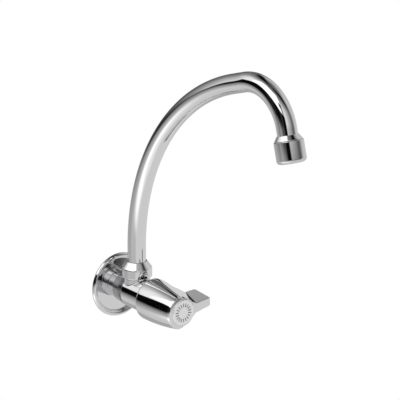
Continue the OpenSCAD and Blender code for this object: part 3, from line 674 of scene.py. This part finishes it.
# the barrel and a block as deep as it are cut by two sloping facets, then the wing and the bezel are set in
def makeHandle(size):
    piece = turnPiece("leverHandle", barrelPath(size), valveAxis, 160)
    block = platePiece("wingBlock", wingPlan(size), -size["barrel"], size["barrel"], Matrix())
    fusePieces(piece, (block,), size["grain"])
    tilt, slope = math.radians(size["facetTilt"]), math.radians(size["facetSlope"])
    for side in (1, -1):
        normal = Vector((math.sin(tilt) * math.cos(slope), -math.sin(slope), side * math.cos(tilt) * math.cos(slope)))
        point = Vector((math.sin(tilt), 0, side * math.cos(tilt))) * size["facetReach"]
        point.y = -size["facetRear"]
        cutBeyond(piece, point * mm, normal)
    fusePieces(piece, (), size["grain"])
    for side in (1, -1):
        softenFacetEdge(piece, size, side)
    root, tip = size["wingRoot"] / 2, size["wingTip"] / 2
    wing = platePiece("wing", wingPlan(size), -root, root, Matrix())
    start = size["bezel"] + 1.6
    fall = (root - tip) / (size["wingReach"] - start)
    for side in (1, -1):
        cutPlane(wing, Vector((start, 0, side * root)) * mm, Vector((fall, 0, side)).normalized())
    front, edge = size["front"], size["bezel"]
    bezel = turnPiece("bezel", softCorners([
        (0, front - 12, 0), (edge, front - 12, 0), (edge, front, 0.5), (0, front, 0)]), valveAxis, 128)
    fusePieces(piece, (wing, bezel), size["grain"])
    setPlace(piece, Matrix.Rotation(math.radians(-size["closedRise"]), 4, "Y"))
    rear, hub, web, over = size["rear"], size["hubFloor"], size["webAt"], size["over"]
    skirt, socket, screw = size["skirtBore"], size["socket"], size["screwBore"]
    cavity = turnPiece("cavity", [
        (0, rear - 2), (skirt, rear - 2), (skirt, rear + size["skirtDepth"]), (size["hubBore"], hub), (socket, hub),
        (socket, web), (screw, web), (screw, web + over), (0, web + over)], valveAxis, 96)
    mergePieces(piece, cavity, "DIFFERENCE")
    key, half = size["key"], size["keyHalf"]
    keyRoom = platePiece("keyRoom", [(-key, -half), (key, -half), (key, half), (-key, half), (-key, -half)],
                         hub - 1, web, valveAxis)
    mergePieces(piece, keyRoom, "DIFFERENCE")
    floor, back = size["recessAt"], size["capBack"]
    recess = turnPiece("recess", [
        (0, floor), (size["recess"], floor), (size["recess"], back), (size["capSeat"], back),
        (size["capSeat"], back + over), (0, back + over)], valveAxis, 128)
    mergePieces(piece, recess, "DIFFERENCE")
    smoothEdges(piece, 40)
    finishPiece(piece, "lever", "chrome", castChrome, "handle")


capSizes = {"radius": 11.2, "back": 90.6, "front": 93, "edge": 0.6, "skirt": 10.45, "skirtWall": 0.9,
            "skirtBack": 87.6, "ticks": 18, "tickFrom": 5.1, "tickTo": 8.4, "tickWidth": 0.85, "tickHeight": 0.25,
            "tickRoot": 0.3, "tickBevel": 0.1}


def makeCap(size):
    inner, outer, back, front = size["skirt"] - size["skirtWall"], size["skirt"], size["back"], size["front"]
    path = softCorners([
        (0, back - 0.6, 0), (inner, back - 0.6, 0), (inner, size["skirtBack"], 0.2), (outer, size["skirtBack"], 0.3),
        (outer, back, 0), (size["radius"], back, 0.2), (size["radius"], front, size["edge"]), (0, front, 0)])
    piece = turnPiece("indexCap", path, valveAxis, 144)
    half, length, rounding = size["tickWidth"] / 2, size["tickTo"] - size["tickFrom"], size["tickWidth"] / 2.2
    rod = softCorners([(-half, 0, rounding), (half, 0, rounding), (half, length, rounding),
                       (-half, length, rounding)], True)
    inwards = Matrix.Translation((0, size["tickFrom"] * mm, 0))
    for k in range(size["ticks"]):
        turn = Matrix.Rotation(2 * math.pi * k / size["ticks"], 4, "Z") @ inwards
        tick = platePiece("tick", rod, front - size["tickRoot"], front + size["tickHeight"], valveAxis @ turn)
        useModifier(tick, "BEVEL", width=size["tickBevel"] * mm, segments=2, limit_method="ANGLE")
        pickOnly(piece)
        tick.select_set(True)
        bpy.ops.object.join()
    smoothEdges(piece, 35)
    finishPiece(piece, "lever", "cap", satinChrome, "index_cap")


makeHandle(handleSizes)
makeCap(capSizes)

# studio: floor, air, lamps and camera

studio = {"floorDrop": 0.3, "floorSize": 6, "air": 0.75, "aim": (0, -0.1, 0.05),
          "lamps": (("overheadLamp", (-0.4, -0.5, 1.2), 0.9, 9), ("frontLamp", (-0.9, -1.2, 0.5), 0.8, 4))}


def makeFloor(size):
    clearSelection()
    bpy.ops.mesh.primitive_plane_add(size=size["floorSize"], location=(0, 0, -size["floorDrop"]))
    floor = bpy.context.object
    floor.name = "floor"
    floor.visible_glossy = False
    paint = Finish("paleFloor", (0.85, 0.85, 0.85), 0.0, 0.8)
    paint.feed("Base Color", paint.blend(paint.noise(3, 2), (0.84, 0.84, 0.84), (0.87, 0.87, 0.87)))
    seen = paint.taken(paint.node("ShaderNodeLightPath"), "Is Camera Ray")
    glow = paint.node("ShaderNodeEmission", Color=(1, 1, 1, 1), Strength=1.0)
    mix = paint.choose(seen, paint.shader, glow)
    paint.tree.links.new(mix.outputs[0], paint.tree.nodes["Material Output"].inputs["Surface"])
    floor.data.materials.append(paint.material)


# what the plating mirrors: a pale tent with one long window on the left, a black flag under it and a pale
# table. Azimuth is 0 straight out from the wall and 90 towards the wing, elevation is up from level. A patch
# is given as left, right, bottom, top, and how soft it is across and up
tent = {
    "wall": [(-180, 0.38), (-166, 0.62), (-150, 0.95), (-60, 1.0), (-42, 0.92), (-30, 0.85), (-12, 0.6), (8, 0.42),
             (24, 0.24), (33, 0.14), (42, 0.14), (53, 0.42), (70, 0.64), (95, 0.6), (124, 0.54), (131, 0.42),
             (136, 0.11), (143, 0.1), (152, 0.14), (162, 0.25), (180, 0.31)],
    "fall": [(-90, 1), (30, 1), (42, 0.95), (52, 0.62), (62, 0.34), (78, 0.16), (90, 0.1)],
    "low": [(-10, 0.15), (-4, 0.1), (2, 0.24), (8, 0.44), (14, 0.62), (30, 1.0), (90, 1)],
    "front": [(-90, 1), (-13, 1), (-8, 0.5), (-4, 0.12), (0, 0.12), (4, 0.45), (9, 0.68), (15, 0.9), (20, 1), (90, 1)],
    "duskBack": [(-90, 1), (-28, 0.9), (-20, 0.72), (-14, 0.48), (-10, 0.27), (-7, 0.06), (-3, 0.03), (0, 0.1)],
    "duskHandle": [(-90, 1), (-31, 0.95), (-24, 0.72), (-18, 0.58), (-14, 0.45), (-10, 0.3), (-6, 0.14), (-4, 0.03),
                   (0, 0.02)],
    "duskLeft": [(-90, 1), (-30, 1), (-24, 0.8), (-18, 0.76), (-12, 0.66), (-8, 0.5), (-4, 0.3), (-2, 0.18),
                 (0, 0.02)],
    "duskRight": [(-90, 1), (-24, 1), (-18, 0.76), (-12, 0.52), (-7, 0.26), (-2, 0.06), (0, 0.06)],
    "seams": ((35, 0), (140, 0.7)), "seamDark": 0.92, "seamFoot": 31, "seamFrom": 39, "seamMiddle": 44,
    "panel": (136, 147, 16.5, 21.5, 3, 1.5), "panelTone": 0.38,
    "crease": (126, 138, -2.6, 13, 4, 1.6), "creaseDark": 0.9,
    "window": (-139, -46, 28, 68), "droop": (-118, 0.35), "bright": 1.3,
    "frame": (-62, -43, 37.5, 48.5, 8, 4), "frameDark": 0.95, "bar": (-55, -40, 26, 40, 5, 4), "barDark": 0.75,
    "flag": (-147, -38, 28), "slant": (-126, 0.7, 11), "flagTone": 0.002,
    "sheens": ((0.014, -116, -102, 10), (0.03, -76, -64, 10)), "lowSheen": (0.06, -98, -66, 8),
    "table": 0.68, "behindDark": 0.26,
    "halo": (-128, -40, -64, -28, 36, 10), "haloTone": 0.22, "pool": (-126, -56, -46, -32, 26, 12),
    "corner": (31, 41, -19.9, -14, 1, 0.35), "cornerTone": 0.02, "grainTone": 0.3}


def makeWorld(look):
    world = bpy.data.worlds.new("studioAir")
    bpy.context.scene.world = world
    world.use_nodes = True
    world.node_tree.nodes.clear()
    air = Weave(world.node_tree)
    toward = air.node("ShaderNodeSeparateXYZ", Vector=air.taken(air.node("ShaderNodeTexCoord"), "Generated"))
    x, y, z = (air.taken(toward, k) for k in range(3))
    azimuth = x.using("ARCTAN2", y * -1) * math.degrees(1)
    elevation = z.using("ARCSINE", None) * math.degrees(1)

    def patch(left, right, bottom, top, softAcross, softUp):
        return air.band(azimuth, left, right, softAcross) * air.band(elevation, bottom, top, softUp)

    # walls of the tent, with two dark seams that widen upwards
    wall = air.tones(azimuth, look["wall"]) * air.tones(elevation, look["fall"])
    for middle, lean in look["seams"]:
        half = ((elevation - look["seamFoot"]) * 0.5).using("MAXIMUM", 0)
        away = (azimuth - middle - (elevation - look["seamMiddle"]) * lean).using("ABSOLUTE", None) - half
        seam = (1 - air.rise(away, 2, 14)) * air.rise(elevation, look["seamFrom"], 14)
        wall = wall * (1 - look["seamDark"] * seam)
    back = air.rise(azimuth, -150, 30) * (1 - air.rise(azimuth, 150, 20))
    low = air.tones(elevation, look["low"])
    wall = wall * (low + (1 - low) * back)
    front = 1 - air.band(azimuth, -45, 34, 12) * (1 - air.tones(elevation, look["front"]))
    wall = wall * front
    wall = wall + (look["panelTone"] - wall) * patch(*look["panel"])
    crease = 1 - look["creaseDark"] * patch(*look["crease"])
    wall = wall * crease

    # window over the flag, with a dark corner in its frame, and the flag itself
    left, right, bottom, top = look["window"]
    start, slope = look["droop"]
    droop = (start - azimuth).using("MAXIMUM", 0) * slope
    window = air.band(azimuth, left, right, 5) * air.rise(elevation, bottom, 6)
    window = window * (1 - air.rise(elevation + droop, top, 8))
    wall = wall + (look["bright"] - wall) * window
    wall = wall * (1 - look["frameDark"] * patch(*look["frame"])) * (1 - look["barDark"] * patch(*look["bar"]))
    left, right, top = look["flag"]
    start, slope, most = look["slant"]
    slant = ((start - azimuth).using("MAXIMUM", 0) * slope).using("MINIMUM", most)
    foot = -1.8 - 2.4 * (1 - air.rise(azimuth, -114, 8))
    flag = air.rise(azimuth, left, 3) * (1 - air.rise(azimuth, right, 8)) * (1 - air.rise(elevation + slant, top, 3))
    sheen = look["flagTone"]
    for tone, left, right, soft in look["sheens"]:
        sheen = sheen + tone * air.band(azimuth, left, right, soft)
    tone, left, right, soft = look["lowSheen"]
    sheen = sheen + tone * air.band(azimuth, left, right, soft) * (1 - air.rise(elevation, 4, 4))
    wall = wall + (sheen - wall) * flag

    # the table: dusk towards its far edge, a pool of light and a dark corner far out in front
    behind = air.rise(azimuth, 125, 44) + (1 - air.rise(azimuth, -169, 16))
    table = look["table"] - look["behindDark"] * behind * air.band(elevation, -58, -22, 12)
    table = table * front
    sides = ((1 - air.rise(azimuth, -148, 8), "duskBack"), (air.band(azimuth, -148, -114, 8), "duskHandle"),
             (air.band(azimuth, -114, -50, 8), "duskLeft"), (air.rise(azimuth, 158, 24), "duskRight"))
    for share, name in sides:
        table = table * (1 - share * (1 - air.tones(elevation, look[name])))
    table = table + look["haloTone"] * patch(*look["halo"])
    table = table + (look["bright"] - table) * patch(*look["pool"])
    grain = air.rise(air.taken(air.node("ShaderNodeTexNoise", Scale=70.0, Detail=3.0)), 0.6, 0.2)
    table = table + (look["cornerTone"] + look["grainTone"] * grain - table) * patch(*look["corner"])
    table = table * crease
    mirrored = table + (wall - table) * air.rise(elevation - foot * flag, 0, 1.6)

    rays = air.node("ShaderNodeLightPath")
    plain = air.node("ShaderNodeBackground", Color=(1, 1, 1, 1), Strength=studio["air"])
    shown = air.node("ShaderNodeBackground", Color=(1, 1, 1, 1), Strength=mirrored)
    white = air.node("ShaderNodeBackground", Color=(1, 1, 1, 1), Strength=1.0)
    inMetal = air.choose(air.taken(rays, "Is Glossy Ray"), plain, shown)
    inView = air.choose(air.taken(rays, "Is Camera Ray"), inMetal, white)
    out = air.node("ShaderNodeOutputWorld")
    air.tree.links.new(inView.outputs[0], out.inputs["Surface"])


def makeLamp(name, place, target, width, power):
    clearSelection()
    bpy.ops.object.light_add(type="AREA", location=place)
    lamp = bpy.context.object
    lamp.name = name
    lamp.data.shape = "SQUARE"
    lamp.data.size = width
    lamp.data.energy = power
    lamp.visible_glossy = False
    lamp.rotation_euler = (Vector(target) - Vector(place)).to_track_quat("-Z", "Y").to_euler()


# solved from the photograph: the pivot on the riser shows at a known pixel, at a known depth
view = {"pivot": (0, -0.0285, 0.0277), "right": (0.7749, -0.6320, 0), "toward": (-0.6038, -0.7403, 0.2957),
        "depth": 1.351, "focal": 1559, "pixel": (136.9, 262.0), "photo": 400, "sensor": 36}


def makeCamera(look):
    lens = bpy.data.cameras.new("photoLens")
    camera = bpy.data.objects.new("photoCamera", lens)
    bpy.context.collection.objects.link(camera)
    right, toward = Vector(look["right"]).normalized(), Vector(look["toward"]).normalized()
    up = toward.cross(right).normalized()
    depth, focal, middle = look["depth"], look["focal"], look["photo"] / 2
    shiftRight = (look["pixel"][0] - middle) / focal * depth
    shiftUp = (middle - look["pixel"][1]) / focal * depth
    place = Vector(look["pivot"]) + toward * depth - right * shiftRight - up * shiftUp
    camera.matrix_world = Matrix.Translation(place) @ Matrix((right, up, toward)).transposed().to_4x4()
    lens.sensor_width = look["sensor"]
    lens.lens = focal / look["photo"] * look["sensor"]
    lens.clip_start = 0.05
    lens.clip_end = 50
    bpy.context.scene.camera = camera


makeFloor(studio)
makeWorld(tent)
for name, place, width, power in studio["lamps"]:
    makeLamp(name, place, studio["aim"], width, power)
makeCamera(view)
bpy.context.scene.view_settings.view_transform = "Standard"
print("studio set")
